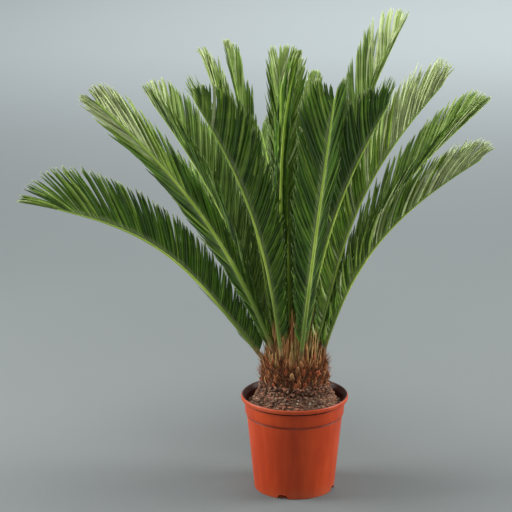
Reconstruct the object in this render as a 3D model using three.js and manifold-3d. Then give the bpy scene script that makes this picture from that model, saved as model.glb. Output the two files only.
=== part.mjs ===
// A sago palm in a round plastic nursery pot: a short shaggy trunk that carries a
// crown of stiff, feather-like fronds. Millimetres, +Z up, front of the plant at -Y.
// The origin is the centre of the pot's flat underside.

import * as THREE from "three";
import { mergeVertices } from "three/addons/utils/BufferGeometryUtils.js";
import Module from "manifold-3d";

const wasm = await Module();
wasm.setup();

// ---------------------------------------------------------------- driving dimensions

const CLEAR = 0.35; // gap between neighbouring solids
const ROUND_STEPS = 48; // facets round the pot and the soil
const TRUNK_STEPS = 28; // facets round the trunk

const POT = {
  height: 220,
  rimRadius: 120,
  baseRadius: 90,
  wall: 2.8,
  floor: 3,
  lipHeight: 11,
  collarHeight: 44,
  collarRadius: 112.5,
  shoulderRadius: 107,
  collarFlare: 2, // how much wider the collar is above its foot
  collarStep: 3, // height of the step from the body out to the collar
  neckIn: 1, // how far the collar draws in under the lip
  footRound: 3, // chamfer round the foot
  lipWidth: 5,
  lipRound: 1.5,
  drainCount: 4,
  drainWidth: 22,
  drainDepth: 16,
  drainHeight: 9,
  drainTurn: 72,
};

// `middleRise` is the share of the mound's rise that is reached half-way in from the edge.
const SOIL = { edgeHeight: 196, moundHeight: 226, middleRise: 0.62, lump: 1.6, seatSlack: 2 };

const TRUNK = {
  footHeight: 200,
  footRadius: 73,
  bellyHeight: 248,
  bellyRadius: 75,
  shoulderHeight: 298,
  shoulderRadius: 68,
  topHeight: 330,
  sideSteps: 6,
};

// Old leaf bases on the trunk's side. `root` is how far each is sunk into the trunk, and
// the rows start `aboveSoil` over the mound and end `belowShoulder` under the shoulder.
const LEAF_BASE = {
  rows: 6,
  perRow: 13,
  width: 18,
  height: 10,
  jut: 9,
  rise: 15,
  root: 4,
  aboveSoil: 2,
  belowShoulder: 14,
};

// Rings of scale leaves on the trunk's dome: radius, count, length, outward lean in degrees.
const SCALE_LEAF = { width: 10, depth: 7, root: 5 };
const SCALE_RINGS = [
  [63, 18, 36, 28],
  [52, 15, 54, 18],
  [40, 12, 66, 12],
  [27, 9, 76, 8],
  [12, 5, 80, 4],
];

const FROND = {
  bare: 62, // stalk below the first leaflet
  pairs: 30,
  stalkWidth: 13,
  neckWidth: 9.5,
  tipWidth: 3.4,
  stalkDepth: 9,
  neckDepth: 7.2,
  tipDepth: 2.8,
  sunk: 7, // how far the stalk stands in its socket
  usualLength: 660, // a frond of this length has leaflets of full length
  leaflet: 164,
  endLeaflet: 30,
  vee: 48, // how far the leaflets are folded up from the flat
  sweepFoot: 42,
  sweepMiddle: 34,
  sweepTip: 29,
  shortest: 0.25, // leaflets at the neck, as a share of the longest
  narrowest: 0.6, // the same for a frond that isn't spread at all
  broadest: 0.75, // share of the blade where the leaflets are longest
  pointFrom: 0.7, // share of the blade where the point starts
  closeFrom: 0.88, // share of the blade where the leaflets of a wide frond close up
};

// Crown, front view from left to right, then the fronds behind. Degrees and millimetres:
// azimuth from +X, distance of the foot from the axis, rise at the foot, arch from foot
// to tip, share of the length where the bend starts, length, sideways sway, how far the
// leaflets are spread (1 is fully open, less on young fronds), how far the upper face is
// rolled about the rib, towards the frond's left, and the stalk below the first leaflet
// where it is longer than usual.
const CROWN = [
  [186, 64, 52, 36, 0.25, 598, 0, 1.65, -50],
  [214, 48, 66, 21.7, 0, 769, -5.5, 0.68, -69],
  [157, 56, 72, 21.5, 0.1, 637, 0, 1, 0],
  [240, 54, 75.5, 23, 0.04, 713, -12, 0.95, 10, 98],
  [172, 40, 81.5, 12, 0.1, 682, 0, 0.6, 0],
  [140, 40, 79.5, 8, 0.1, 684, -8, 0.5, 0],
  [110, 32, 86, 6, 0.1, 650, 0, 0.9, 0],
  [240, 34, 80.5, 17.5, 0.36, 731, 57, 0.35, 0],
  [72, 36, 83, 8, 0.1, 604, 0, 0.55, 0],
  [281, 54, 67, -0.8, 0.56, 704, 3.5, 0.9, -7, 90],
  [36, 38, 80, 22, 0.1, 763, 0, 0.8, 0],
  [300, 37, 76, 19, 0, 672, 15, 1, -16],
  [334.5, 44, 75.5, 24.5, 0.23, 698, 18, 1, -1],
  [11.5, 50, 71.5, 33.5, 0, 677, 9, 0.82, 0],
  [347.5, 58, 73, 38, 0, 598, 5, 1, 10],
  [62, 66, 62, 30, 0.1, 550, 0, 1, 0],
  [80, 66, 56, 36, 0.1, 640, 0, 1, 0],
  [98, 66, 58, 36, 0.1, 640, 0, 1, 0],
  [116, 66, 57, 36, 0.1, 630, 0, 1, 0],
  [134, 66, 58, 34, 0.1, 550, 0, 1, 0],
  [95, 48, 70, 24, 0.1, 560, 0, 0.9, 0],
  [122, 50, 70, 22, 0.1, 560, 0, 0.9, 0],
  [58, 50, 72, 20, 0.1, 580, 0, 0.9, 0],
].map(([azimuth, foot, rise, arch, bendFrom, length, sway, spread, roll, bare = FROND.bare]) => {
  return { azimuth, foot, rise, arch, bendFrom, length, sway, spread, roll, neck: bare / length };
});

const COLOUR = {
  pot: 0xb5432a,
  soil: 0x5b4a3d,
  trunk: 0x7a4a2c,
  frond: 0x2f6b26,
};

// ---------------------------------------------------------------- helpers

const radians = (degrees) => (degrees * Math.PI) / 180;
const mix = (a, b, t) => a + (b - a) * t;
const clamp01 = (t) => Math.min(1, Math.max(0, t));
const smooth = (t) => clamp01(t) ** 2 * (3 - 2 * clamp01(t));

// A repeatable random number from 0 to 1 for each seed.
function random(seed) {
  const wave = Math.sin(seed * 12.9898 + 78.233) * 43758.5453;
  return wave - Math.floor(wave);
}

function bufferGeometry(positions, indices) {
  const geometry = new THREE.BufferGeometry();
  geometry.setAttribute("position", new THREE.Float32BufferAttribute(positions, 3));
  geometry.setIndex(indices);
  return geometry;
}

// Turns a closed three.js geometry into a manifold solid that can be joined or cut.
function toSolid(source) {
  const bare = source.clone();
  bare.deleteAttribute("normal");
  bare.deleteAttribute("uv");
  const welded = mergeVertices(bare, 1e-3);
  const corners = welded.index.array;
  const kept = [];
  for (let i = 0; i < corners.length; i += 3) {
    const [a, b, c] = [corners[i], corners[i + 1], corners[i + 2]];
    if (a !== b && b !== c && c !== a) kept.push(a, b, c);
  }
  return new wasm.Manifold(
    new wasm.Mesh({
      numProp: 3,
      vertProperties: new Float32Array(welded.attributes.position.array),
      triVerts: new Uint32Array(kept),
    }),
  );
}

// Gives the largest body of a manifold solid back as a three.js geometry.
function fromSolid(solid) {
  const bodies = solid.decompose();
  bodies.sort((a, b) => b.volume() - a.volume());
  const mesh = bodies[0].getMesh();
  return bufferGeometry(Array.from(mesh.vertProperties), Array.from(mesh.triVerts));
}

function revolve(profile, steps) {
  const points = profile.map(([radius, height]) => new THREE.Vector2(radius, height));
  return new THREE.LatheGeometry(points, steps).rotateX(Math.PI / 2);
}

function piece(name, geometry, color, roughness) {
  const material = new THREE.MeshStandardMaterial({ color, roughness, metalness: 0 });
  const mesh = new THREE.Mesh(geometry, material);
  mesh.name = name;
  return mesh;
}

// ---------------------------------------------------------------- convex bodies and their clearance

// A convex body for the clearance test: its corners, and the corner pairs and faces
// that give the directions in which it can be parted from another.
function convexBody(points, edgePairs, faceCorners) {
  const side = (a, b) => points[b].clone().sub(points[a]);
  return {
    points,
    box: new THREE.Box3().setFromPoints(points),
    edges: edgePairs.map(([a, b]) => side(a, b)),
    normals: faceCorners.map(([a, b, c]) => side(a, b).cross(side(a, c))),
  };
}

function spikeBody(root, tip) {
  const edges = [[0, 1], [1, 2], [2, 3], [3, 0], [0, 4], [1, 4], [2, 4], [3, 4]];
  const faces = [[0, 1, 2], [0, 1, 4], [1, 2, 4], [2, 3, 4], [3, 0, 4]];
  return convexBody([...root, tip], edges, faces);
}

function beamBody(start, end) {
  const edges = [[0, 1], [1, 2], [4, 5], [5, 6], [0, 4], [1, 5], [2, 6], [3, 7]];
  const faces = [[0, 1, 2], [4, 5, 6], [0, 1, 4], [1, 2, 5], [2, 3, 6], [3, 0, 7]];
  return convexBody([...start, ...end], edges, faces);
}

function gapAlong(axis, a, b) {
  const length = axis.length();
  if (length < 1e-6) return -Infinity;
  const reach = [a, b].map((body) => {
    const along = body.points.map((point) => point.dot(axis));
    return [Math.min(...along), Math.max(...along)];
  });
  return Math.max(reach[1][0] - reach[0][1], reach[0][0] - reach[1][1]) / length;
}

// True when two convex bodies lie at least the clearance apart.
function apart(a, b) {
  const near = a.box.clone().expandByScalar(CLEAR);
  if (!near.intersectsBox(b.box)) return true;
  for (const axis of [...a.normals, ...b.normals]) {
    if (gapAlong(axis, a, b) >= CLEAR) return true;
  }
  for (const u of a.edges) {
    for (const v of b.edges) {
      if (gapAlong(u.clone().cross(v), a, b) >= CLEAR) return true;
    }
  }
  return false;
}

// ---------------------------------------------------------------- pot and soil

const bodyTop = POT.height - POT.collarHeight;
const wallTaper = (POT.shoulderRadius - POT.baseRadius) / bodyTop;

// The pot's inner wall as radius at a height, for the wall and for the soil against it.
const collarInside = POT.collarRadius - POT.wall;
const innerWall = [
  [POT.baseRadius - POT.wall, POT.floor],
  [POT.shoulderRadius - POT.wall - wallTaper * POT.wall, bodyTop - POT.wall],
  [collarInside - POT.collarFlare, bodyTop + POT.collarStep + 1],
  [collarInside, POT.height - POT.lipHeight],
];

function innerRadius(height) {
  for (let i = 1; i < innerWall.length; i++) {
    const [r0, h0] = innerWall[i - 1];
    const [r1, h1] = innerWall[i];
    if (height <= h1) return mix(r0, r1, (height - h0) / (h1 - h0));
  }
  return POT.rimRadius;
}

function makePot() {
  const lipFoot = POT.height - POT.lipHeight;
  const profile = [
    [0, 0],
    [POT.baseRadius - POT.footRound, 0],
    [POT.baseRadius, POT.footRound],
    [POT.shoulderRadius, bodyTop],
    [POT.collarRadius - POT.collarFlare, bodyTop + POT.collarStep],
    [POT.collarRadius, lipFoot - POT.neckIn * 3],
    [POT.collarRadius - POT.neckIn, lipFoot],
    [POT.rimRadius - POT.lipRound / 2, lipFoot + 1],
    [POT.rimRadius, lipFoot + POT.lipRound * 2],
    [POT.rimRadius - POT.lipRound / 2, POT.height - POT.lipRound],
    [POT.rimRadius - POT.lipWidth / 2, POT.height],
    [POT.rimRadius - POT.lipWidth, POT.height - POT.lipRound],
    ...innerWall.toReversed(),
    [0, POT.floor],
  ];
  let pot = toSolid(revolve(profile, ROUND_STEPS));
  for (let i = 0; i < POT.drainCount; i++) {
    const turn = radians(POT.drainTurn + (360 / POT.drainCount) * i);
    const notch = new THREE.BoxGeometry(POT.drainDepth, POT.drainWidth, POT.drainHeight * 2);
    notch.translate(POT.baseRadius, 0, 0).rotateZ(turn);
    pot = pot.subtract(toSolid(notch));
  }
  return piece("pot", fromSolid(pot), COLOUR.pot, 0.45);
}

function makeSoil() {
  const seat = TRUNK.footRadius + CLEAR + SOIL.seatSlack;
  const edge = innerRadius(SOIL.edgeHeight) - CLEAR;
  const middle = mix(seat, edge, 0.5);
  const profile = [
    [0, POT.floor + CLEAR],
    ...innerWall.slice(0, 3).map(([r, h]) => [r - CLEAR, h + CLEAR]),
    [edge, SOIL.edgeHeight],
    [middle, mix(SOIL.edgeHeight, SOIL.moundHeight, SOIL.middleRise)],
    [seat, SOIL.moundHeight],
    [seat, TRUNK.footHeight - CLEAR],
    [0, TRUNK.footHeight - CLEAR],
  ];
  const geometry = revolve(profile, ROUND_STEPS);
  const place = geometry.attributes.position;
  for (let i = 0; i < place.count; i++) {
    const radius = Math.hypot(place.getX(i), place.getY(i));
    if (Math.abs(radius - middle) > 1) continue;
    const turn = Math.round((Math.atan2(place.getY(i), place.getX(i)) * ROUND_STEPS) / (2 * Math.PI));
    const lump = SOIL.lump * (2 * random((turn + ROUND_STEPS) % ROUND_STEPS) - 1);
    place.setZ(i, place.getZ(i) + lump);
  }
  return piece("soil", fromSolid(toSolid(geometry)), COLOUR.soil, 0.95);
}

// ---------------------------------------------------------------- fronds

// Height of the trunk's dome at a distance from the axis.
function domeHeight(radius) {
  const share = Math.min(1, radius / TRUNK.shoulderRadius);
  return mix(TRUNK.topHeight, TRUNK.shoulderHeight, share ** 2);
}

// Width and depth of the rib at a share of the frond's length. The neck is at the first leaflet.
function ribSize(along, neck) {
  if (along < neck) {
    const t = smooth(along / neck);
    return [mix(FROND.stalkWidth, FROND.neckWidth, t), mix(FROND.stalkDepth, FROND.neckDepth, t)];
  }
  const t = (along - neck) / (1 - neck);
  return [mix(FROND.neckWidth, FROND.tipWidth, t), mix(FROND.neckDepth, FROND.tipDepth, t)];
}

// Shares of the length at which the rib has a station: the bare stalk, then one per pair.
function stationShares(neck) {
  const stalk = [0, 0.35, 0.7].map((t) => t * neck);
  const blade = Array.from({ length: FROND.pairs + 1 }, (_, i) => mix(neck, 1, i / FROND.pairs));
  return [...stalk, ...blade];
}

// The rib of one frond: its stations, each with a place, its directions and four corners.
// `grow` thickens the rib all round, for the socket that it stands in.
function ribStations(shape, grow = 0) {
  const start = radians(shape.azimuth);
  const place = new THREE.Vector3(
    shape.foot * Math.cos(start),
    shape.foot * Math.sin(start),
    domeHeight(shape.foot) - FROND.sunk,
  );
  const elevation = (share) => {
    const bend = smooth((share - shape.bendFrom) / (1 - shape.bendFrom));
    return radians(shape.rise - shape.arch * bend);
  };
  const direction = (share, tilt) => {
    const up = elevation(share) + tilt;
    const turn = start + radians(shape.sway) * share;
    return new THREE.Vector3(Math.cos(up) * Math.cos(turn), Math.cos(up) * Math.sin(turn), Math.sin(up));
  };
  const shares = stationShares(shape.neck);
  return shares.map((share, i) => {
    const step = i ? share - shares[i - 1] : 0;
    place.addScaledVector(direction(share - step / 2, 0), step * shape.length);
    const here = place.clone();
    const along = direction(share, 0);
    const face = direction(share, Math.PI / 2).applyAxisAngle(along, -radians(shape.roll));
    const side = along.clone().cross(face);
    const [width, depth] = ribSize(share, shape.neck).map((size) => size / 2 + grow);
    const corner = (s, f) => here.clone().addScaledVector(side, s * width).addScaledVector(face, f * depth);
    const corners = [corner(1, 1), corner(1, -1), corner(-1, -1), corner(-1, 1)];
    return { place: here, along, face, side, corners };
  });
}

// Length of a leaflet at a share of the blade, as a share of the longest. Narrow young
// fronds are more pointed than open ones, and the widest open ones are broadest further out.
function leafletLength(blade, spread) {
  const broadest = FROND.broadest * Math.max(1, spread) ** 2;
  const swell = mix(FROND.shortest, 1, Math.sin((Math.PI / 2) * clamp01(blade / broadest)));
  const point = Math.min(0.85, 1.75 - spread);
  return swell * (1 - point * clamp01((blade - FROND.pointFrom) / (1 - FROND.pointFrom)) ** 2);
}

// Angle of a leaflet to the rib. Those of a wide frond close up again at its tip.
function leafletSweep(blade, spread) {
  const close = smooth((blade - FROND.closeFrom) / (1 - FROND.closeFrom));
  const open = mix(spread, Math.min(1, spread), close);
  if (blade < 0.5) return open * radians(mix(FROND.sweepFoot, FROND.sweepMiddle, blade / 0.5));
  return open * radians(mix(FROND.sweepMiddle, FROND.sweepTip, (blade - 0.5) / 0.5));
}

// Tip of one leaflet. `hand` is the side of the rib, `size` its share of the full length,
// and `lift` turns it further up or down about the rib.
function leafletTip(frond, index, hand, size, lift) {
  const blade = (index + 0.5) / FROND.pairs;
  const from = frond.stations[frond.first + index];
  const to = frond.stations[frond.first + index + 1];
  const { spread, length } = frond.shape;
  const sweep = leafletSweep(blade, spread);
  const vee = radians(FROND.vee);
  const direction = from.along
    .clone()
    .multiplyScalar(Math.cos(sweep))
    .addScaledVector(from.side, hand * Math.sin(sweep) * Math.cos(vee))
    .addScaledVector(from.face, Math.sin(sweep) * (Math.sin(vee) + lift))
    .normalize();
  const root = from.place.clone().lerp(to.place, 0.5);
  const longest = FROND.leaflet * (length / FROND.usualLength) * mix(FROND.narrowest, 1, spread);
  return root.addScaledVector(direction, longest * leafletLength(blade, spread) * size);
}

// What a leaflet tries, in turn, until it is clear: its size and its lift.
const LEAFLET_TRIES = [
  [1, 0],
  [1, 0.22],
  [1, -0.22],
  [0.82, 0],
  [0.82, 0.3],
  [0.82, -0.3],
  [0.64, 0],
  [0.64, 0.3],
  [0.5, 0],
  [0.38, 0],
];

// Stations of every rib, and the leaflets that keep clear of all other fronds. They are
// placed from the tips inward, in all fronds by turns, so that no frond crowds out another.
function layOutFronds() {
  const fronds = CROWN.map((shape) => {
    const stations = ribStations(shape);
    const beams = stations.slice(1).map((station, i) => beamBody(stations[i].corners, station.corners));
    const first = stations.length - 1 - FROND.pairs;
    return { shape, stations, beams, first, leaflets: new Map() };
  });
  const placed = fronds.map((frond) => [...frond.beams]);
  for (let index = FROND.pairs - 1; index >= 0; index--) {
    fronds.forEach((frond, number) => {
      for (const hand of [1, -1]) {
        const [a, b] = hand > 0 ? [1, 0] : [3, 2];
        const from = frond.stations[frond.first + index].corners;
        const to = frond.stations[frond.first + index + 1].corners;
        const root = [from[a], to[a], to[b], from[b]];
        for (const [size, lift] of LEAFLET_TRIES) {
          const tip = leafletTip(frond, index, hand, size, lift);
          const body = spikeBody(root, tip);
          const clearOf = (bodies) => bodies.every((other) => apart(body, other));
          if (!placed.every((bodies, other) => other === number || clearOf(bodies))) continue;
          placed[number].push(body);
          frond.leaflets.set(`${index},${hand}`, tip);
          break;
        }
      }
    });
  }
  return fronds;
}

// One frond as a single closed skin: the rib, with a leaflet drawn out of each side face.
function makeFrond(frond, name) {
  const points = frond.stations.flatMap((station) => station.corners);
  const triangles = [];
  const last = frond.stations.length - 1;
  const quad = (a, b, c, d) => triangles.push([a, b, c], [a, c, d]);
  const spike = (corners, tip) => {
    const apex = points.push(tip) - 1;
    corners.forEach((corner, i) => triangles.push([corner, corners[(i + 1) % 4], apex]));
  };
  for (let i = 0; i < last; i++) {
    for (let k = 0; k < 4; k++) {
      const next = (k + 1) % 4;
      const corners = [4 * i + next, 4 * i + 4 + next, 4 * i + 4 + k, 4 * i + k];
      const hand = k === 0 ? 1 : -1;
      const tip = k % 2 === 0 && frond.leaflets.get(`${i - frond.first},${hand}`);
      if (tip) spike(corners, tip);
      else quad(...corners);
    }
  }
  quad(3, 2, 1, 0);
  const end = frond.stations[last];
  const point = end.place.clone().addScaledVector(end.along, FROND.endLeaflet);
  spike([0, 1, 2, 3].map((k) => 4 * last + k), point);
  const positions = points.flatMap((point) => point.toArray());
  return piece(name, bufferGeometry(positions, triangles.flat()), COLOUR.frond, 0.4);
}

// ---------------------------------------------------------------- trunk

// A four-sided spike that stands on the trunk: root square to `out`, tip at `tip`.
function trunkSpike(centre, out, width, height, tip) {
  const across = new THREE.Vector3(-out.y, out.x, 0).normalize();
  const down = across.clone().cross(out).normalize();
  const corner = (s, t) => {
    return centre.clone().addScaledVector(across, (s * width) / 2).addScaledVector(down, (t * height) / 2);
  };
  const root = [corner(1, 1), corner(-1, 1), corner(-1, -1), corner(1, -1)];
  const faces = [[0, 1, 2], [0, 2, 3], [1, 0, 4], [2, 1, 4], [3, 2, 4], [0, 3, 4]];
  const positions = [...root, tip].flatMap((point) => point.toArray());
  return { body: spikeBody(root, tip), geometry: bufferGeometry(positions, faces.flat()) };
}

function trunkRadius(height) {
  const t = TRUNK;
  if (height < t.bellyHeight) {
    return mix(t.footRadius, t.bellyRadius, smooth((height - t.footHeight) / (t.bellyHeight - t.footHeight)));
  }
  return mix(t.bellyRadius, t.shoulderRadius, smooth((height - t.bellyHeight) / (t.shoulderHeight - t.bellyHeight)));
}

// Old leaf bases in staggered rows on the trunk's side.
function leafBases() {
  const spikes = [];
  const lowest = SOIL.moundHeight + LEAF_BASE.height / 2 + LEAF_BASE.aboveSoil;
  const highest = TRUNK.shoulderHeight - LEAF_BASE.belowShoulder;
  for (let row = 0; row < LEAF_BASE.rows; row++) {
    const height = mix(lowest, highest, row / (LEAF_BASE.rows - 1));
    for (let i = 0; i < LEAF_BASE.perRow; i++) {
      const seed = row * 31 + i * 7 + 1;
      const turn = ((i + (row % 2) / 2 + 0.2 * random(seed)) / LEAF_BASE.perRow) * 2 * Math.PI;
      const out = new THREE.Vector3(Math.cos(turn), Math.sin(turn), 0);
      const centre = out.clone().multiplyScalar(trunkRadius(height) - LEAF_BASE.root);
      centre.z = height + 3 * random(seed + 5);
      const jut = LEAF_BASE.root + LEAF_BASE.jut * mix(0.7, 1.15, random(seed + 9));
      const tip = centre.clone().addScaledVector(out, jut);
      tip.z += LEAF_BASE.rise * mix(0.7, 1.2, random(seed + 13));
      spikes.push(trunkSpike(centre, out, LEAF_BASE.width, LEAF_BASE.height, tip));
    }
  }
  return spikes;
}

// Pointed scale leaves that stand between the stalks on the trunk's dome.
function scaleLeaves() {
  const spikes = [];
  SCALE_RINGS.forEach(([radius, count, length, lean], ring) => {
    for (let i = 0; i < count; i++) {
      const seed = 500 + ring * 41 + i * 3;
      const turn = ((i + 0.5 * (ring % 2) + 0.3 * random(seed)) / count) * 2 * Math.PI;
      const flat = new THREE.Vector3(Math.cos(turn), Math.sin(turn), 0);
      const out = flat.clone().multiplyScalar(Math.sin(radians(lean)));
      out.z = Math.cos(radians(lean));
      const centre = flat.clone().multiplyScalar(radius);
      centre.z = domeHeight(radius) - SCALE_LEAF.root;
      const tip = centre.clone().addScaledVector(out, length * mix(0.75, 1.1, random(seed + 17)));
      spikes.push(trunkSpike(centre, out, SCALE_LEAF.width, SCALE_LEAF.depth, tip));
    }
  });
  return spikes;
}

function makeTrunk(fronds) {
  const side = Array.from({ length: TRUNK.sideSteps + 1 }, (_, i) => {
    const height = mix(TRUNK.footHeight, TRUNK.shoulderHeight, i / TRUNK.sideSteps);
    return [trunkRadius(height), height];
  });
  const dome = [0.75, 0.5, 0.25, 0].map((share) => {
    const radius = share * TRUNK.shoulderRadius;
    return [radius, domeHeight(radius)];
  });
  let trunk = toSolid(revolve([[0, TRUNK.footHeight], ...side, ...dome], TRUNK_STEPS));
  const stalks = fronds.flatMap((frond) => frond.beams);
  for (const spike of [...leafBases(), ...scaleLeaves()]) {
    if (stalks.every((stalk) => apart(spike.body, stalk))) trunk = trunk.add(toSolid(spike.geometry));
  }
  for (const frond of fronds) trunk = trunk.subtract(socket(frond.shape));
  return piece("trunk", fromSolid(trunk), COLOUR.trunk, 0.9);
}

// The space that a frond's stalk takes up in the trunk, with its clearance.
function socket(shape) {
  const stations = ribStations(shape, CLEAR).slice(0, 3);
  stations[0].corners.forEach((corner) => corner.addScaledVector(stations[0].along, -CLEAR));
  const positions = stations.flatMap((station) => station.corners).flatMap((point) => point.toArray());
  const triangles = [3, 2, 1, 3, 1, 0];
  for (let i = 0; i < 2; i++) {
    for (let k = 0; k < 4; k++) {
      const next = (k + 1) % 4;
      const [a, b, c, d] = [4 * i + next, 4 * i + 4 + next, 4 * i + 4 + k, 4 * i + k];
      triangles.push(a, b, c, a, c, d);
    }
  }
  triangles.push(8, 9, 10, 8, 10, 11);
  return toSolid(bufferGeometry(positions, triangles));
}

// ---------------------------------------------------------------- assembly

const plant = new THREE.Group();
const fronds = layOutFronds();
plant.add(makePot());
plant.add(makeSoil());
plant.add(makeTrunk(fronds));
fronds.forEach((frond, i) => plant.add(makeFrond(frond, `frond_${String(i + 1).padStart(2, "0")}`)));

export default plant;
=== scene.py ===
"""Looks of a sago palm in a plastic nursery pot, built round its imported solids.

Metres and degrees, +Z up, front of the plant at -Y. The origin is the centre of the
pot's flat underside, as in the solids. The crown is grown by the solids' own rule, with
more and finer leaflets.
"""

import math
import random
from typing import NamedTuple

import bmesh
import bpy
from mathutils import Matrix, Vector, noise


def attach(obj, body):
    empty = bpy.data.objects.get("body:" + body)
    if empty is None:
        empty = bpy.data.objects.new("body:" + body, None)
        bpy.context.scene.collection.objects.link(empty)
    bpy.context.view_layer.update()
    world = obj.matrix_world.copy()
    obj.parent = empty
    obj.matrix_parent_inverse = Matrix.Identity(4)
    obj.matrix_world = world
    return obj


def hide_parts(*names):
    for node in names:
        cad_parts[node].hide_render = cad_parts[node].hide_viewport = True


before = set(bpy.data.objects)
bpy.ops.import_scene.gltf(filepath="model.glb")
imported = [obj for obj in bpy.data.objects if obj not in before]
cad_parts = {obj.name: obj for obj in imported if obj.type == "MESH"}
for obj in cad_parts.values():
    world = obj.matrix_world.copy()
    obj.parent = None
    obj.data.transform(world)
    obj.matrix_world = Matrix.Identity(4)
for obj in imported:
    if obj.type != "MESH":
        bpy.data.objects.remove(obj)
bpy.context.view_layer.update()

BODY = "root"

# ---- sizes


class Pot:
    height = 0.220
    rim = 0.120
    base = 0.090
    wall = 0.0028
    floor = 0.003
    lip = 0.011
    lip_width = 0.005
    collar = 0.044
    collar_radius = 0.1125
    shoulder = 0.107
    drains = 4
    drain_width = 0.022
    drain_depth = 0.016
    drain_height = 0.009
    drain_arch = 0.004  # height of the round part
    drain_turn = 72
    steps = 144


class Soil:
    edge = 0.196
    mound = 0.234
    depth = 0.02  # of the bed under its edge
    lumps = 0.0035
    lump_grain = 70  # lumps to the metre
    rings = 26
    steps = 120
    chips = 1300
    stones = 0.1  # share of the chips that are grit
    crumbs = 520


class Trunk:
    foot = 0.200
    foot_radius = 0.073
    belly = 0.248
    belly_radius = 0.075
    shoulder = 0.298
    shoulder_radius = 0.068
    top = 0.330
    relief = 0.004
    relief_grain = 90
    rings = 40
    side_rings = 0.7  # share of the rings that lie below the dome
    steps = 96
    base_rows = 10
    bases_per_row = 19
    strands = 2200
    side_strands = 0.6  # share of the strands that grow below the dome


class Rib:
    bare = 0.062
    stalk_width = 0.0135
    neck_width = 0.0088
    tip_width = 0.0034
    stalk_depth = 0.0105
    neck_depth = 0.0078
    tip_depth = 0.0026
    sunk = 0.012
    upper_side = 0.55  # the upper side is flatter than the under side
    stations = 56
    steps = 4  # between two stations
    sides = 10


class Leaflet:
    pairs = 116
    usual_length = 0.660  # a frond of this length has leaflets of full length
    length = 0.160
    young_length = 0.6  # share of it on a frond that is still shut
    width = 0.0068
    tip_width = 0.62  # share of it on the shortest leaflets
    vee = 48  # how far the leaflets are folded up from the flat
    sweep_foot = 44
    sweep_middle = 36
    sweep_tip = 31
    broadest = 0.75  # share of the blade where the leaflets are longest
    foot_share = 0.25  # length of the first leaflets
    tip_from = 0.7  # share of the blade where they begin to shorten
    tip_loss = 0.75  # how much shorter they are at the tip of an open frond
    young_tip_loss = 0.85
    below_neck = 0.030  # the short first leaflets reach down so far below the neck
    louver = 8  # how far each blade is turned about its own axis
    lightening = 2.4  # steps of LEAF_TONES from a frond's tone of 0 to one of 1
    tip_paling_and_backlight = 2.6  # the same at its tip, from a pale of 0 to one of 1; partly the leaflets' own paler tips, partly painted backlight
    tone_scatter = 0.9
    # On a frond with a spread over 1:
    wide_sweep = 0.45  # share of the extra opening that the leaflets take
    wide_length = 1.26
    wide_crowding = 1.5
    wide_close_from = 0.86  # share of the blade where they close up
    wide_close = 0.15
    wide_tip_loss = 0.48


class Frond(NamedTuple):
    azimuth: float
    foot: float  # distance of the foot from the axis
    rise: float  # elevation at the foot
    arch: float  # how far it bends down from foot to tip
    bend_from: float  # share of the length where the bend starts
    length: float
    sway: float
    spread: float  # 1 is fully open, less on the young fronds in the middle
    roll: float  # how far the upper face is turned about the rib, towards its left
    tone: float  # 0 is the deepest green, 1 the lightest
    pale: float  # how far the leaflets at the tip turn pale: partly their own paler tips, partly painted backlight
    bare: float = Rib.bare  # stalk below the first long leaflet


CROWN = [Frond(*row) for row in (
    # azimuth, foot, rise, arch, bend_from, length, sway, spread, roll, tone, pale, bare
    (186, 0.064, 52, 36, 0.25, 0.598, 0, 1.65, -50, 0.45, 0.4),
    (214, 0.048, 66, 21.7, 0, 0.769, -5.5, 0.68, -69, 0.45, 2),
    (157, 0.056, 72, 21.5, 0.1, 0.637, 0, 1, 0, 0.5, 0.8),
    (240, 0.054, 75.5, 23, 0.04, 0.713, -12, 0.95, 10, 0.4, 0.6, 0.098),
    (172, 0.04, 81.5, 12, 0.1, 0.682, 0, 0.6, 0, 0.5, 1),
    (140, 0.04, 79.5, 8, 0.1, 0.684, -8, 0.5, 0, 0.5, 0.9),
    (110, 0.032, 86, 6, 0.1, 0.65, 0, 0.9, 0, 0.4, 0.8),
    (240, 0.034, 80.5, 17.5, 0.36, 0.731, 57, 0.35, 0, 0.4, 0.7),
    (72, 0.036, 83, 8, 0.1, 0.604, 0, 0.55, 0, 0.35, 0.9),
    (281, 0.054, 67, -0.8, 0.56, 0.704, 3.5, 0.9, -7, 0.3, 0.1, 0.09),
    (36, 0.038, 80, 22, 0.1, 0.763, 0, 0.8, 0, 0.55, 1.15),
    (300, 0.037, 76, 19, 0, 0.672, 15, 1, -16, 0.3, 0.2),
    (334.5, 0.044, 75.5, 24.5, 0.23, 0.698, 18, 1, -1, 0.95, 2.6),
    (11.5, 0.05, 71.5, 33.5, 0, 0.677, 9, 0.82, 0, 0.55, 0.8),
    (347.5, 0.058, 73, 38, 0, 0.598, 5, 1, 10, 1, 1.3),
    (62, 0.066, 62, 30, 0.1, 0.55, 0, 1, 0, 0.35, 0.3),
    (80, 0.066, 56, 36, 0.1, 0.64, 0, 1, 0, 0.35, 0.3),
    (98, 0.066, 58, 36, 0.1, 0.64, 0, 1, 0, 0.35, 0.3),
    (116, 0.066, 57, 36, 0.1, 0.63, 0, 1, 0, 0.35, 0.3),
    (134, 0.066, 58, 34, 0.1, 0.55, 0, 1, 0, 0.35, 0.3),
    (95, 0.048, 70, 24, 0.1, 0.56, 0, 0.9, 0, 0.3, 0.2),
    (122, 0.05, 70, 22, 0.1, 0.56, 0, 0.9, 0, 0.3, 0.2),
    (58, 0.05, 72, 20, 0.1, 0.58, 0, 0.9, 0, 0.3, 0.2),
)]

# Leaflets are joined in three pieces, by the number of the frond.
CROWN_PARTS = {"left": range(0, 8), "right": range(8, 16), "back": range(16, 23)}


# ---- small sums

UP = Vector((0, 0, 1))


def mix(a, b, t):
    return a + (b - a) * t


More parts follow.
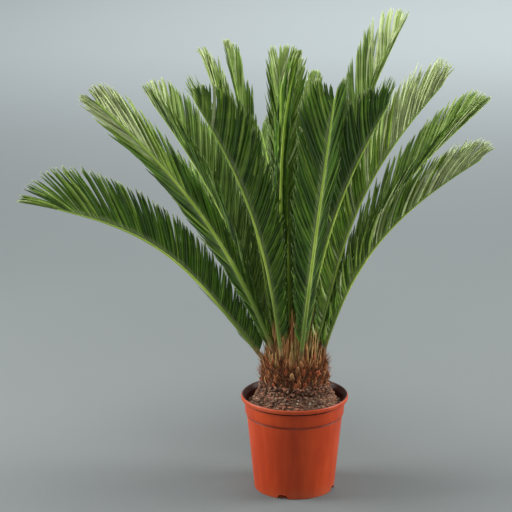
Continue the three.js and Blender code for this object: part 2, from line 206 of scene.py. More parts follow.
def clamp01(t):
    return min(1.0, max(0.0, t))


def smooth(t):
    t = clamp01(t)
    return t * t * (3 - 2 * t)


def on_circle(radius, degrees, height):
    turn = math.radians(degrees)
    return Vector((radius * math.cos(turn), radius * math.sin(turn), height))


def circle(radius, height, steps):
    return [on_circle(radius, 360 * i / steps, height) for i in range(steps)]


def scatter(dice, across, up):
    """A random offset of up to `across` in X and Y and up to `up` in Z."""
    return Vector([dice.uniform(-reach, reach) for reach in (across, across, up)])


# ---- meshes


def new_object(name, data):
    """An object in the scene that shows the data."""
    thing = bpy.data.objects.new(name, data)
    bpy.context.scene.collection.objects.link(thing)
    return thing


def mesh_object(name, points, faces, finishes=()):
    mesh = bpy.data.meshes.new(name)
    mesh.from_pydata([tuple(p) for p in points], [], faces)
    for finish in finishes:
        mesh.materials.append(finish)
    mesh.update()
    return new_object(name, mesh)


def tube_faces(first, rings, count):
    """Faces between rings of `count` points each, from the point `first` on."""
    faces = []
    for low in range(first, first + (rings - 1) * count, count):
        for k in range(count):
            n = (k + 1) % count
            faces.append((low + k, low + n, low + count + n, low + count + k))
    return faces


def closed_rings(name, below, rings, above, finishes):
    """A smooth closed body of rings of points, from one height on the axis to another."""
    steps = len(rings[0])
    points = [(0, 0, below)] + [spot for ring in rings for spot in ring] + [(0, 0, above)]
    last = len(points) - 1
    faces = [(0, 1 + (i + 1) % steps, 1 + i) for i in range(steps)]
    faces += tube_faces(1, len(rings), steps)
    faces += [(last - steps + i, last - steps + (i + 1) % steps, last) for i in range(steps)]
    body = mesh_object(name, points, faces, finishes)
    body.data.shade_smooth()
    return body


def round_profile(corners, steps=3):
    """A profile with its corners rounded. Each corner is (radius, height, rounding)."""
    points = [corners[0][:2]]
    for before, (*middle, rounding), after in zip(corners, corners[1:], corners[2:]):
        if not rounding:
            points.append(middle)
            continue
        middle = Vector(middle)
        start = middle + (Vector(before[:2]) - middle).normalized() * rounding
        end = middle + (Vector(after[:2]) - middle).normalized() * rounding
        for i in range(steps + 1):
            t = i / steps
            points.append(start * (1 - t) ** 2 + middle * 2 * t * (1 - t) + end * t ** 2)
    return points + [corners[-1][:2]]


def blade_form(name, sections, outline, bow=0.0, droop=0.0):
    """A slim closed blade of unit length along +Y, for planting many times.

    `sections` are (share of the length, half width), the last with no width, and
    `outline` is the cross-section at half width 1, anticlockwise seen from the tip.
    """
    count = len(outline)
    points = []
    uvs = []
    for t, half in sections[:-1]:
        middle = Vector((bow * t * t, t, -droop * t * t))
        for x, z in outline:
            points.append(middle + Vector((x * half, 0, z * half)))
            uvs.append((t, 0.5 + 0.5 * x))
    points.append(Vector((bow, 1, -droop)))
    uvs.append((1, 0.5))
    tip = len(points) - 1
    faces = tube_faces(0, len(sections) - 1, count)
    faces += [(tip - count + k, tip - count + (k + 1) % count, tip) for k in range(count)]
    faces.append(tuple(reversed(range(count))))
    form = mesh_object(name, points, faces)
    form.data.shade_smooth()
    layer = form.data.uv_layers.new(name="Blade")
    for loop in form.data.loops:
        layer.data[loop.index].uv = uvs[loop.vertex_index]
    under = form.data.attributes.new("under", "BOOLEAN", "FACE")
    under.data.foreach_set("value", [face.normal.z < -0.2 for face in form.data.polygons])
    mend_normals(form)
    return form


def mend_normals(thing):
    bm = bmesh.new()
    bm.from_mesh(thing.data)
    bmesh.ops.recalc_face_normals(bm, faces=bm.faces)
    bm.to_mesh(thing.data)
    bm.free()


def evaluated_mesh(thing):
    """The mesh that an object's modifiers make."""
    bpy.context.view_layer.update()
    graph = bpy.context.evaluated_depsgraph_get()
    return bpy.data.meshes.new_from_object(thing.evaluated_get(graph), depsgraph=graph)


# ---- node trees


class Signal:
    """A node's socket that can be used in sums like a number."""

    def __init__(self, graph, socket):
        self.graph = graph
        self.socket = socket

    def _sum(self, operation, *values):
        return self.graph.node("ShaderNodeMath", {"operation": operation}, *values)

    def __add__(self, other):
        return self._sum("ADD", self, other)

    __radd__ = __add__

    def __sub__(self, other):
        return self._sum("SUBTRACT", self, other)

    def __rsub__(self, other):
        return self._sum("SUBTRACT", other, self)

    def __mul__(self, other):
        return self._sum("MULTIPLY", self, other)

    __rmul__ = __mul__

    def __abs__(self):
        return self._sum("ABSOLUTE", self)

    def clamp(self):
        return self.graph.node("ShaderNodeClamp", None, self)


class Graph:
    """A node tree that is made node by node."""

    def __init__(self, tree):
        self.tree = tree

    def feed(self, socket, value):
        """Links a signal to a socket, or gives the socket a plain value."""
        if isinstance(value, Signal):
            self.tree.links.new(value.socket, socket)
        else:
            socket.default_value = value

    def node(self, kind, settings=None, *values, output=0, **named):
        """Adds a node with its settings first, then its sockets, and gives back one output."""
        made = self.tree.nodes.new(kind)
        for key, value in (settings or {}).items():
            setattr(made, key, value)
        in_use = [s for s in made.inputs if s.enabled]
        for socket, value in zip(in_use, values):
            self.feed(socket, value)
        for key, value in named.items():
            self.feed(next(s for s in in_use if s.name == key.replace("_", " ")), value)
        return Signal(self, [s for s in made.outputs if s.enabled][output])


class Recipe(Graph):
    """A Geometry Nodes tree with named inputs, each given as (kind, value)."""

    def __init__(self, name, **inputs):
        super().__init__(bpy.data.node_groups.new(name, "GeometryNodeTree"))
        face = self.tree.interface
        face.new_socket("Geometry", in_out="INPUT", socket_type="NodeSocketGeometry")
        face.new_socket("Geometry", in_out="OUTPUT", socket_type="NodeSocketGeometry")
        self.values = {}
        for label, (kind, value) in inputs.items():
            socket = face.new_socket(label, in_out="INPUT", socket_type="NodeSocket" + kind)
            self.values[socket.identifier] = value
        self.source = self.tree.nodes.new("NodeGroupInput")

    def given(self, label):
        """An input of the tree, by its name."""
        return Signal(self, self.source.outputs[label])

    def attribute(self, name, kind):
        return self.node("GeometryNodeInputNamedAttribute", {"data_type": kind}, Name=name)

    def paint(self, geometry, finishes):
        """Gives each face the finish of its tone. A pair holds an upper and an under finish."""
        tone = self.attribute("tone", "INT")
        under = self.attribute("under", "BOOLEAN")
        equal = {"data_type": "INT", "operation": "EQUAL"}
        for number, finish in enumerate(finishes):
            faces = self.node("FunctionNodeCompare", equal, tone, number)
            upper, below = finish if isinstance(finish, tuple) else (finish, None)
            geometry = self.cover(geometry, faces, upper)
            if below:
                faces = self.node("FunctionNodeBooleanMath", {"operation": "AND"}, faces, under)
                geometry = self.cover(geometry, faces, below)
        return geometry

    def cover(self, geometry, faces, finish):
        return self.node("GeometryNodeSetMaterial", Geometry=geometry, Selection=faces, Material=finish)

    def finish(self, geometry, thing, name):
        """Runs the tree on an object and gives the result back as a plain mesh object."""
        target = self.tree.nodes.new("NodeGroupOutput")
        self.feed(target.inputs[0], geometry)
        modifier = thing.modifiers.new(name, "NODES")
        modifier.node_group = self.tree
        for identifier, value in self.values.items():
            modifier[identifier] = value
        mesh = evaluated_mesh(thing)
        mesh.name = name
        for slot in reversed(range(len(mesh.materials))):
            if mesh.materials[slot] is None:
                mesh.materials.pop(index=slot)
        thing.modifiers.remove(modifier)
        return new_object(name, mesh)


class Seat(NamedTuple):
    """Where one small piece is planted, with its axes, its size and its looks."""
    place: Vector
    aim: Vector  # the piece's +Y
    top: Vector  # roughly the piece's +Z
    half: float  # scale along its X and Z
    length: float  # scale along its Y
    form: int
    tone: int


def planted(name, seats, forms, finishes, seed, variation=0.0):
    """One joined mesh of many small pieces, each planted on its seat."""
    ground = mesh_object(name + "_seats", [seat.place for seat in seats], [])
    turns = []
    sizes = []
    for seat in seats:
        sizes += [seat.half, seat.length, seat.half]
        aim = seat.aim.normalized()
        side = aim.cross(seat.top).normalized()
        top = side.cross(aim)
        turns += Matrix((side, aim, top)).transposed().to_euler()[:]
    columns = {
        "turn": ("FLOAT_VECTOR", "vector", turns),
        "size": ("FLOAT_VECTOR", "vector", sizes),
        "form": ("INT", "value", [seat.form for seat in seats]),
        "tone": ("INT", "value", [seat.tone for seat in seats]),
    }
    for label, (kind, field, values) in columns.items():
        ground.data.attributes.new(label, kind, "POINT").data.foreach_set(field, values)
    shelf = bpy.data.collections.new(name + "_forms")  # outside the scene
    for form in forms:
        bpy.context.scene.collection.objects.unlink(form)
        shelf.objects.link(form)
    recipe = Recipe(
        name + " planted",
        Forms=("Collection", shelf),
        Variation=("Float", variation),
        Seed=("Int", seed),
    )
    shapes = recipe.node(
        "GeometryNodeCollectionInfo",
        Collection=recipe.given("Forms"),
        Separate_Children=True,
        Reset_Children=True,
    )
    least = 1.0 - recipe.given("Variation")
    varied = recipe.node("FunctionNodeRandomValue", Min=least, Max=1.0, Seed=recipe.given("Seed"))
    size = recipe.attribute("size", "FLOAT_VECTOR")
    turn = recipe.attribute("turn", "FLOAT_VECTOR")
    copies = recipe.node(
        "GeometryNodeInstanceOnPoints",
        Points=recipe.given("Geometry"),
        Instance=shapes,
        Pick_Instance=True,
        Instance_Index=recipe.attribute("form", "INT"),
        Rotation=recipe.node("FunctionNodeEulerToRotation", Euler=turn),
        Scale=recipe.node("ShaderNodeVectorMath", {"operation": "SCALE"}, Vector=size, Scale=varied),
    )
    joined = recipe.node("GeometryNodeRealizeInstances", Geometry=copies)
    made = recipe.finish(recipe.paint(joined, finishes), ground, name)
    bpy.data.objects.remove(ground)
    made.data.shade_smooth()
    return made


# ---- finishes


class Finish(Graph):
    """A material that is made node by node round one Principled shader."""

    def __init__(self, name, **settings):
        self.material = bpy.data.materials.new(name)
        self.material.use_nodes = True
        super().__init__(self.material.node_tree)
        self.shader = next(n for n in self.tree.nodes if n.type == "BSDF_PRINCIPLED")
        self.wear(**settings)

    def place(self, scale=(1, 1, 1)):
        """Object coordinates, stretched by a Mapping node."""
        coordinates = self.node("ShaderNodeTexCoord", output=3)
        return self.node("ShaderNodeMapping", Vector=coordinates, Scale=scale)

    def blade(self, scale=(1, 1, 1)):
        """The place on a blade: x runs from its root to its tip, y across it."""
        spot = self.node("ShaderNodeUVMap", {"uv_map": "Blade"})
        return self.node("ShaderNodeMapping", Vector=spot, Scale=scale)

    def axis(self, vector, number):
        return self.node("ShaderNodeSeparateXYZ", None, vector, output=number)

    def noise(self, place, scale, detail=3, roughness=0.55):
        return self.node("ShaderNodeTexNoise", Vector=place, Scale=scale, Detail=detail, Roughness=roughness)

    def step(self, value, low, high):
        """0 below `low`, 1 above `high`, and a smooth rise between."""
        rise = {"interpolation_type": "SMOOTHSTEP"}
        return self.node("ShaderNodeMapRange", rise, value, From_Min=low, From_Max=high)

    def band(self, value, middle, reach):
        """1 at the middle value, and 0 from `reach` away on."""
        return 1 - self.step(abs(value - middle), 0, reach)

    def blend(self, factor, a, b):
        """Two colours mixed by a factor."""
        a, b = (colour if isinstance(colour, Signal) else (*colour, 1) for colour in (a, b))
        return self.node("ShaderNodeMix", {"data_type": "RGBA"}, factor, a, b)

    def bump(self, height, distance, strength=1):
        return self.node("ShaderNodeBump", Height=height, Distance=distance, Strength=strength)

    def wear(self, **values):
        """Feeds the shader's sockets, and gives back the material."""
        for label, value in values.items():
            self.feed(self.shader.inputs[label.replace("_", " ")], value)
        return self.material


def tinted(colour, amount):
    return tuple(channel * amount for channel in colour)


def leaflet_finish(name, colour, roughness, coat):
    """Stiff leaf: fine lengthwise veins, a paler midrib line and a drier point."""
    f = Finish(name, Coat_Weight=coat, Coat_Roughness=0.25, Specular_IOR_Level=0.3)
    blade = f.blade()
    along = f.axis(blade, 0)
    across = f.axis(blade, 1)
    patches = f.noise(f.place(), 30)
    veins = f.noise(f.blade((1.5, 26, 1)), 3, detail=2)
    body = f.blend(f.step(patches, 0.35, 0.68), tinted(colour, 0.8), tinted(colour, 1.22))
    midrib = f.band(across, 0.5, 0.09)
    lined = f.blend(midrib * 0.35, body, LEAF_TIP)
    root = 1 - f.step(along, 0.01, 0.14)
    ends = f.step(along, 0.86, 1) * 0.6 + root * 0.5
    return f.wear(
        Base_Color=f.blend(ends.clamp(), lined, LEAF_TIP),
        Roughness=roughness + 0.14 * patches,
        Normal=f.bump(veins, 0.0004, 0.5),
    )


def stalk_finish():
    """Green rib, tan and woolly at its foot, bright yellow-green in its middle."""
    f = Finish("stalk_skin", Coat_Weight=0.2, Coat_Roughness=0.3, Specular_IOR_Level=0.5)
    along = f.node("ShaderNodeAttribute", {"attribute_name": "along"}, output=2)
    grain = f.noise(f.place((1, 1, 0.25)), 160, detail=4)
    patches = f.noise(f.place(), 22)
    bright = f.blend(f.step(patches, 0.3, 0.7), (0.34, 0.52, 0.05), (0.5, 0.66, 0.11))
    young = f.blend(f.step(along, 0.55, 1), bright, (0.3, 0.5, 0.05))
    shaft = f.blend(f.step(along, 0.14, 0.42), (0.14, 0.225, 0.026), young)
    foot = f.blend(f.step(grain, 0.35, 0.65), (0.13, 0.06, 0.022), (0.36, 0.21, 0.085))
    colour = f.blend(f.step(along + 0.05 * patches, 0.06, 0.125), foot, shaft)
    return f.wear(Base_Color=colour, Roughness=0.34 + 0.2 * grain, Normal=f.bump(grain, 0.0004, 0.4))


def husk_finish(name, dark, light, roughness=0.82):
    """Dry leaf base or scale: long fibres in two browns."""
    f = Finish(name, Specular_IOR_Level=0.15)
    fibres = f.noise(f.blade((2, 18, 1)), 3.2, detail=4, roughness=0.6)
    patches = f.noise(f.place(), 55)
    worn = f.step(0.6 * fibres + 0.4 * patches, 0.34, 0.66)
    ends = f.step(f.axis(f.blade(), 0), 0.55, 1)
    colour = f.blend(ends * 0.45, f.blend(worn, dark, light), tinted(light, 1.35))
    return f.wear(
        Base_Color=colour,
        Roughness=roughness + 0.1 * patches,
        Normal=f.bump(fibres, 0.0012, 0.8),
    )


def wool_finish(name, colour):
    f = Finish(name, Roughness=0.85, Specular_IOR_Level=0.15)
    patches = f.noise(f.place(), 70)
    mottled = f.blend(f.step(patches, 0.3, 0.7), tinted(colour, 0.6), tinted(colour, 1.3))
    return f.wear(Base_Color=mottled)


def trunk_finish():
    f = Finish("trunk_heart", Specular_IOR_Level=0.2)
    place = f.place()
    lumps = f.noise(place, 60, detail=5, roughness=0.65)
    cracks = f.noise(f.place((1, 1, 0.35)), 130, detail=4)
    colour = f.blend(f.step(lumps, 0.32, 0.68), (0.03, 0.013, 0.007), (0.115, 0.05, 0.024))
    return f.wear(Base_Color=colour, Roughness=0.84 + 0.1 * lumps, Normal=f.bump(cracks, 0.002, 0.9))


def soil_finish(name, dark, light):
    f = Finish(name, Specular_IOR_Level=0.25)
    place = f.place()
    grains = f.noise(place, 210, detail=5, roughness=0.7)
    patches = f.noise(place, 40)
    colour = f.blend(f.step(0.6 * grains + 0.4 * patches, 0.38, 0.62), dark, light)
    return f.wear(Base_Color=colour, Roughness=0.86 + 0.1 * grains, Normal=f.bump(grains, 0.0015, 0.8))


def pot_finish(name, painted_shade):
    """Moulded orange plastic: satin, mottled, dusty at foot and rim, with painted shade in the grooves under
    the lip and the collar.

    Its last argument darkens it all: painted shade, for the inner wall and the inside of the lip's top.
    """
    f = Finish(name, Specular_IOR_Level=0.3, Coat_Roughness=0.35)
    place = f.place()
    height = f.axis(place, 2)
    clouds = f.noise(place, 9, detail=4)
    streaks = f.noise(f.place((1, 1, 0.08)), 55)
    pebble = f.noise(place, 900, detail=2)
    scuffs = f.step(f.noise(f.place((1, 1, 0.3)), 70, detail=6, roughness=0.7), 0.6, 0.72)
    mottled = f.step(0.5 * clouds + 0.5 * streaks, 0.38, 0.62)
    body = f.blend(mottled, (0.42, 0.042, 0.008), (0.52, 0.062, 0.012))
    low = 1 - f.step(height + 0.02 * clouds, 0.004, 0.045)
    high = f.step(height, 0.196, 0.219)
    dust = (0.55 * low + 0.35 * high + 0.25 * scuffs) * f.step(clouds, 0.3, 0.7)
    dusty = f.blend((0.6 * dust).clamp(), body, (0.42, 0.17, 0.09))
    # Painted shade: dark bands in the grooves under the lip and under the collar.
    shade_under_lip = f.band(height, Pot.height - Pot.lip - 0.0022, 0.005)
    shade_under_collar = f.band(height, Pot.height - Pot.collar - 0.002, 0.0045)
    groove_shaded = f.blend((0.3 * shade_under_lip + 0.15 * shade_under_collar).clamp(), dusty, (0.11, 0.012, 0.004))
    # Painted shade: the whole finish darkened by the last argument, for the inner wall.
    colour = f.blend(painted_shade, groove_shaded, (0.035, 0.012, 0.008))
    return f.wear(
        Base_Color=colour,
        Roughness=(0.36 + 0.12 * streaks + 0.22 * scuffs + 0.15 * dust).clamp(),
        Normal=f.bump(pebble, 0.00012, 0.6),
    )


def floor_finish():
    """Blue-grey paper with painted light and shade: darker where the plant stands and the lamps are strong,
    paler well behind it and all round, where their light falls off.
    """
    f = Finish("studio_floor", Specular_IOR_Level=0.05)
    place = f.place()
    ahead = f.axis(place, 1)
    # Painted light and shade: dark round the plant, pale where the lamps' light falls off.
    painted_far_light = f.step(ahead, 0.2, 6.5)
    painted_near_shade = (1 - f.step(abs(f.axis(place, 0)), 2.2, 4.6)) * (1 - f.step(0 - ahead, 1.2, 4.6))
    clouds = f.noise(place, 0.8)
    paper = f.blend((painted_far_light + 0.06 * clouds).clamp(), (0.15, 0.165, 0.168), (0.52, 0.58, 0.6))
    return f.wear(Base_Color=f.blend(painted_near_shade, (0.84, 0.87, 0.88), paper), Roughness=0.9 + 0.05 * clouds)


# ---- pot and soil


BODY_TOP = Pot.height - Pot.collar
# The pot's inner wall from the floor up: radius and height.
INNER_WALL = [
    (Pot.base - Pot.wall, Pot.floor),
    (Pot.shoulder - Pot.wall * 1.1, BODY_TOP - Pot.wall),
    (Pot.collar_radius - Pot.wall - 0.002, BODY_TOP + 0.004),
    (Pot.collar_radius - Pot.wall, Pot.height - Pot.lip),
]


def inner_radius(height):
    for (r0, h0), (r1, h1) in zip(INNER_WALL, INNER_WALL[1:]):
        if height <= h1:
            return mix(r0, r1, (height - h0) / (h1 - h0))
    return Pot.rim


def make_pot(outside, inside):
    lip_foot = Pot.height - Pot.lip
    collar = Pot.collar_radius
    groove = 0.0018  # depth of the grooves under the lip and under the collar
    corners = [
        (0, 0.0016, 0),
        (Pot.base - 0.012, 0.0016, 0.0008),
        (Pot.base - 0.01, 0, 0.0008),
        (Pot.base, 0, 0.0012),
        (Pot.base + 0.0003, 0.004, 0),
        (Pot.shoulder, BODY_TOP - 0.005, 0.0008),
        (Pot.shoulder - groove / 2, BODY_TOP - 0.003, 0.0005),
        (Pot.shoulder - groove / 2, BODY_TOP - 0.001, 0.0005),
        (collar - 0.002, BODY_TOP + 0.001, 0.0008),
        (collar, lip_foot - 0.004, 0.0008),
        (collar - groove, lip_foot - 0.003, 0.0005),
        (collar - groove, lip_foot - 0.001, 0.0005),
        (Pot.rim - 0.0004, lip_foot + 0.0005, 0.0009),
        (Pot.rim, Pot.height - 0.003, 0.0018),
        (Pot.rim - Pot.lip_width / 2, Pot.height, 0.0012),
        (Pot.rim - Pot.lip_width, Pot.height - 0.002, 0.001),
        (*INNER_WALL[3], 0.001),
        *((*point, 0.002) for point in reversed(INNER_WALL[:3])),
        (0, Pot.floor, 0),
    ]
    (_, under), *profile, (_, floor) = round_profile(corners)
    rings = [circle(*spot, Pot.steps) for spot in profile]
    pot = closed_rings("pot_shell", under, rings, floor, [outside, inside])
    for i in range(Pot.drains):
        cutter = drain_cutter(Pot.drain_turn + 360 * i / Pot.drains)
        cut = pot.modifiers.new("drain", "BOOLEAN")
        cut.operation = "DIFFERENCE"
        cut.object = cutter
        carved = evaluated_mesh(pot)
        pot.modifiers.clear()
        pot.data = carved
        bpy.data.objects.remove(cutter)
    # Faces turned inward, and upward faces inside the lip, take the darker inner finish: painted shade.
    for face in pot.data.polygons:
        middle = face.center.xy.to_3d()
        within = middle.length < Pot.rim - Pot.lip_width * 0.4
        if face.normal.dot(middle) < 0 or within and face.normal.z > 0.3:
            face.material_index = 1
    pot.data.shade_smooth()
    pot.data.set_sharp_from_angle(angle=math.radians(35))
    return pot


def drain_cutter(turn):
    """An arched block that cuts one drain notch through the pot's foot."""
    half = Pot.drain_width / 2
    arch = [(-half, -0.01), (half, -0.01)]
    for i in range(9):
        angle = math.pi * i / 8
        rise = Pot.drain_arch * (math.sin(angle) - 1)
        arch.append((half * math.cos(angle), Pot.drain_height + rise))
    points = []
    for reach in (Pot.base - Pot.drain_depth / 2, Pot.base + Pot.drain_depth / 2):
        points += [Matrix.Rotation(math.radians(turn), 3, "Z") @ Vector((reach, y, z)) for y, z in arch]
    count = len(arch)
    faces = [tuple(reversed(range(count))), tuple(range(count, 2 * count))]
    faces += tube_faces(0, 2, count)
    cutter = mesh_object("drain_cutter", points, faces)
    mend_normals(cutter)
    return cutter


def soil_height(radius):
    edge = inner_radius(Soil.edge)
    share = clamp01((edge - radius) / (edge - Trunk.foot_radius))
    return mix(Soil.edge, Soil.mound, smooth(share) ** 2)


def make_soil(finish):
    """A lumpy disc of soil from the pot's wall to under the trunk, closed below."""
    edge = inner_radius(Soil.edge) - 0.0003
    inner = Trunk.foot_radius * 0.8
    below = Soil.edge - Soil.depth
    rings = [circle(edge * 0.985, below, Soil.steps)]
    for number in range(Soil.rings):
        radius = mix(edge, inner, number / (Soil.rings - 1))
        ring = circle(radius, 0, Soil.steps)
        for spot in ring:
            lumps = noise.fractal(spot * Soil.lump_grain, 0.7, 2.1, 5) * Soil.lumps
            spot.z = soil_height(radius) + lumps * smooth(number / 3)
        rings.append(ring)
    return closed_rings("soil_bed", below, rings, Soil.mound, [finish])


BARK_FORMS = range(0, 4)
STONE_FORMS = range(4, 6)


def chip_forms():
    """Flat splinters of bark and small round stones."""
    dice = random.Random(5)
    forms = []
    for i in (*BARK_FORMS, *STONE_FORMS):
        stone = i in STONE_FORMS
        least, flat, detail = (0.9, 0.75, 2) if stone else (0.75, 0.35, 1)
        bm = bmesh.new()
        bmesh.ops.create_icosphere(bm, subdivisions=detail, radius=1)
        for vert in bm.verts:
            rough = mix(least, 2 - least, dice.random())
            vert.co = Vector((vert.co.x, vert.co.y * 0.7, vert.co.z * flat)) * rough
        form = mesh_object(f"chip_{i}", [], [])
        bm.to_mesh(form.data)
        bm.free()
        forms.append(form)
    return forms


def make_chips(finishes):
    """Bark chips and grit on the soil, and crumbs heaped against the foot of the trunk."""
    dice = random.Random(11)
    outer = inner_radius(Soil.edge) - 0.006
    inner = Trunk.foot_radius + 0.002
    seats = []
    for i in range(Soil.chips):
        radius = math.sqrt(mix(inner ** 2, outer ** 2, dice.random()))
        place = on_circle(radius, 360 * dice.random(), soil_height(radius) + 0.0008)
        aim = scatter(dice, 1, 0.3)
        stone = dice.random() < Soil.stones
        size = dice.uniform(0.0016, 0.0034) if stone else dice.uniform(0.0024, 0.0066)
        form = dice.choice(STONE_FORMS if stone else BARK_FORMS)
        tone = 3 if stone else dice.choice((0, 0, 1, 2))
        seats.append(Seat(place, aim, UP, size, size * 1.3, form, tone))
    for i in range(Soil.crumbs):
        height = mix(Soil.mound - 0.006, Soil.mound + 0.022, dice.random() ** 1.3)
        turn = 360 * dice.random()
        place = on_circle(trunk_radius(height) + dice.uniform(-0.001, 0.003), turn, height)
        aim = scatter(dice, 1, 1)
        size = dice.uniform(0.0026, 0.006)
        form, tone = dice.choice(BARK_FORMS), dice.choice((0, 0, 0, 1, 2, 2))
        seats.append(Seat(place, aim, place.normalized(), size, size * 1.3, form, tone))
    chips = planted("soil_chips", seats, chip_forms(), finishes, seed=3)
    chips.data.shade_flat()
    return chips


# ---- trunk


def trunk_radius(height):
    if height < Trunk.belly:
        share = smooth((height - Trunk.foot) / (Trunk.belly - Trunk.foot))
        return mix(Trunk.foot_radius, Trunk.belly_radius, share)
    share = smooth((height - Trunk.belly) / (Trunk.shoulder - Trunk.belly))
    return mix(Trunk.belly_radius, Trunk.shoulder_radius, share)


def dome_height(radius):
    share = min(1, radius / Trunk.shoulder_radius)
    return mix(Trunk.top, Trunk.shoulder, share ** 2)


def make_trunk_heart(finish):
    """The trunk's body under the old leaf bases."""
    side = Trunk.side_rings
    rings = []
    for number in range(Trunk.rings):
        share = number / (Trunk.rings - 1)
        if share < side:
            height = mix(Trunk.foot, Trunk.shoulder, share / side)
            radius = trunk_radius(height)
        else:
            radius = Trunk.shoulder_radius * mix(1, 0.03, (share - side) / (1 - side))
            height = dome_height(radius)
        ring = []
        for spot in circle(radius, height, Trunk.steps):
            relief = noise.fractal(spot * Trunk.relief_grain, 0.6, 2.1, 4) * Trunk.relief
            ring.append(spot + spot.normalized() * (relief - 0.003))
        rings.append(ring)
    return closed_rings("trunk_heart", Trunk.foot, rings, Trunk.top, [finish])


def leaning(out, degrees, aside=0):
    """A direction that leans outward from the upright, and a little to one side."""
    lean = math.radians(degrees)
    return out * math.sin(lean) + UP * math.cos(lean) + UP.cross(out) * aside


HUSK_OUTLINE = [(-1, -0.1), (-0.55, -0.3), (0, -0.36), (0.55, -0.3), (1, -0.1), (0.5, 0.14), (-0.5, 0.14)]


def base_forms():
    """Broken-off old leaf bases: broad at the root, ragged at the end."""
    dice = random.Random(21)
    forms = []
    for i in range(5):
        sections = [(0, 1), (0.3, 0.95 * dice.uniform(0.9, 1.1)), (0.6, 0.72 * dice.uniform(0.85, 1.1))]
        sections += [(0.85, 0.45 * dice.uniform(0.7, 1.1)), (1, 0)]
        forms.append(blade_form(f"old_base_{i}", sections, HUSK_OUTLINE, dice.uniform(-0.4, 0.4), 0.5))
    return forms


def make_leaf_bases(finishes):
    """Rows of old leaf bases, pressed close and turned up, in a staggered pattern."""
    dice = random.Random(31)
    forms = base_forms()
    seats = []
    for row in range(Trunk.base_rows):
        share = row / (Trunk.base_rows - 1)
        height = mix(Soil.mound + 0.008, Trunk.shoulder - 0.002, share)
        for i in range(Trunk.bases_per_row):
            turn = (i + 0.5 * (row % 2) + dice.uniform(-0.22, 0.22)) * 360 / Trunk.bases_per_row
            up = height + dice.uniform(-0.004, 0.004)
            out = on_circle(1, turn, 0)
            place = on_circle(trunk_radius(up) - 0.008, turn, up)
            aim = leaning(out, mix(26, 13, share) + dice.uniform(-10, 12), dice.uniform(-0.25, 0.25))
            length = dice.uniform(0.02, 0.036)
            broad = dice.uniform(0.0066, 0.0092)
            tone = dice.choice((0, 0, 1, 1, 2, 3))
            form = dice.randrange(len(forms))
            seats.append(Seat(place, aim, out, broad, length, form, tone))
    return planted("leaf_bases", seats, forms, finishes, seed=4, variation=0.1)


def scale_forms():
    """Slim pointed scale leaves."""
    dice = random.Random(41)
    forms = []
    for i in range(4):
        sections = [(0, 0.9), (0.15, 1), (0.4, 0.8 * dice.uniform(0.9, 1.1)), (0.7, 0.42), (1, 0)]
        bow = dice.uniform(-1.2, 1.2)
        forms.append(blade_form(f"scale_leaf_{i}", sections, HUSK_OUTLINE, bow, dice.uniform(-0.6, 1.4)))
    return forms


# Scale leaves between the stalks: radius, count, length, outward lean.
SCALE_RINGS = [
    (0.065, 36, 0.048, 12),
    (0.06, 42, 0.08, 8),
    (0.053, 40, 0.1, 5),
    (0.045, 32, 0.108, 5),
    (0.036, 26, 0.118, 4),
    (0.025, 18, 0.122, 3),
    (0.013, 10, 0.124, 3),
]


def make_scale_leaves(finishes):
    """Rings of upright scale leaves on the dome, longer towards the middle."""
    dice = random.Random(51)
    forms = scale_forms()
    seats = []
    for radius, count, length, lean in SCALE_RINGS:
        for i in range(count):
            turn = (i + dice.uniform(-0.35, 0.35)) * 360 / count
            out = on_circle(1, turn, 0)
            place = on_circle(radius, turn, dome_height(radius) - 0.008)
            aim = leaning(out, lean + dice.uniform(-8, 8), dice.uniform(-0.15, 0.15))
            size = length * dice.uniform(0.5, 1.1)
            broad = dice.uniform(0.0026, 0.0046)
            form, tone = dice.randrange(len(forms)), dice.randrange(len(finishes))
            seats.append(Seat(place, aim, out, broad, size, form, tone))
    return planted("scale_leaves", seats, forms, finishes, seed=6, variation=0.1)


def wool_forms():
    """Fine strands, three-sided, bent to one side."""
    dice = random.Random(61)
    outline = [on_circle(1, turn, 0)[:2] for turn in (90, 210, 330)]
    sections = [(0, 1), (0.35, 0.9), (0.7, 0.6), (1, 0)]
    return [
        blade_form(f"strand_{i}", sections, outline, dice.uniform(-9, 9), dice.uniform(-9, 9))
        for i in range(6)
    ]


def make_wool(finishes):
    """Loose fibres over the trunk and between the stalks' feet."""
    dice = random.Random(71)
    forms = wool_forms()
    seats = []
    for i in range(Trunk.strands):
        turn = 360 * dice.random()
        out = on_circle(1, turn, 0)
        if dice.random() < Trunk.side_strands:
            height = mix(Trunk.belly, Trunk.shoulder, dice.random() ** 0.8)
            place = on_circle(trunk_radius(height) - 0.002, turn, height)
            lean = dice.uniform(5, 45)
        else:
            radius = Trunk.shoulder_radius * math.sqrt(dice.random())
            place = on_circle(radius, turn, dome_height(radius) - 0.003)
            lean = dice.uniform(0, 30)
        aim = leaning(out, lean) + scatter(dice, 0.4, 0.2)
        length = dice.uniform(0.012, 0.03)
        thick = dice.uniform(0.0003, 0.00052)
        form, tone = dice.randrange(len(forms)), dice.randrange(len(finishes))
        seats.append(Seat(place, aim, out, thick, length, form, tone))
    return planted("trunk_wool", seats, forms, finishes, seed=8)


# ---- fronds


class Station(NamedTuple):
    share: float
    place: Vector
    along: Vector
    face: Vector
    side: Vector


def rib_stations(frond, shares):
    """Places and directions along a frond's rib, by the rule of the solids."""
    place = on_circle(frond.foot, frond.azimuth, dome_height(frond.foot) - 0.007)

    def direction(share, tilt):
        bend = smooth((share - frond.bend_from) / (1 - frond.bend_from))
        up = math.radians(frond.rise - frond.arch * bend + tilt)
        return on_circle(math.cos(up), frond.azimuth + frond.sway * share, math.sin(up))

    stations = []
    before = 0
    for share in shares:
        step = (share - before) / Rib.steps
        for k in range(Rib.steps):
            place = place + direction(before + (k + 0.5) * step, 0) * step * frond.length
        before = share
        along = direction(share, 0)
        face = Matrix.Rotation(math.radians(-frond.roll), 3, along) @ direction(share, 90)
        stations.append(Station(share, place.copy(), along, face, along.cross(face)))
    return stations


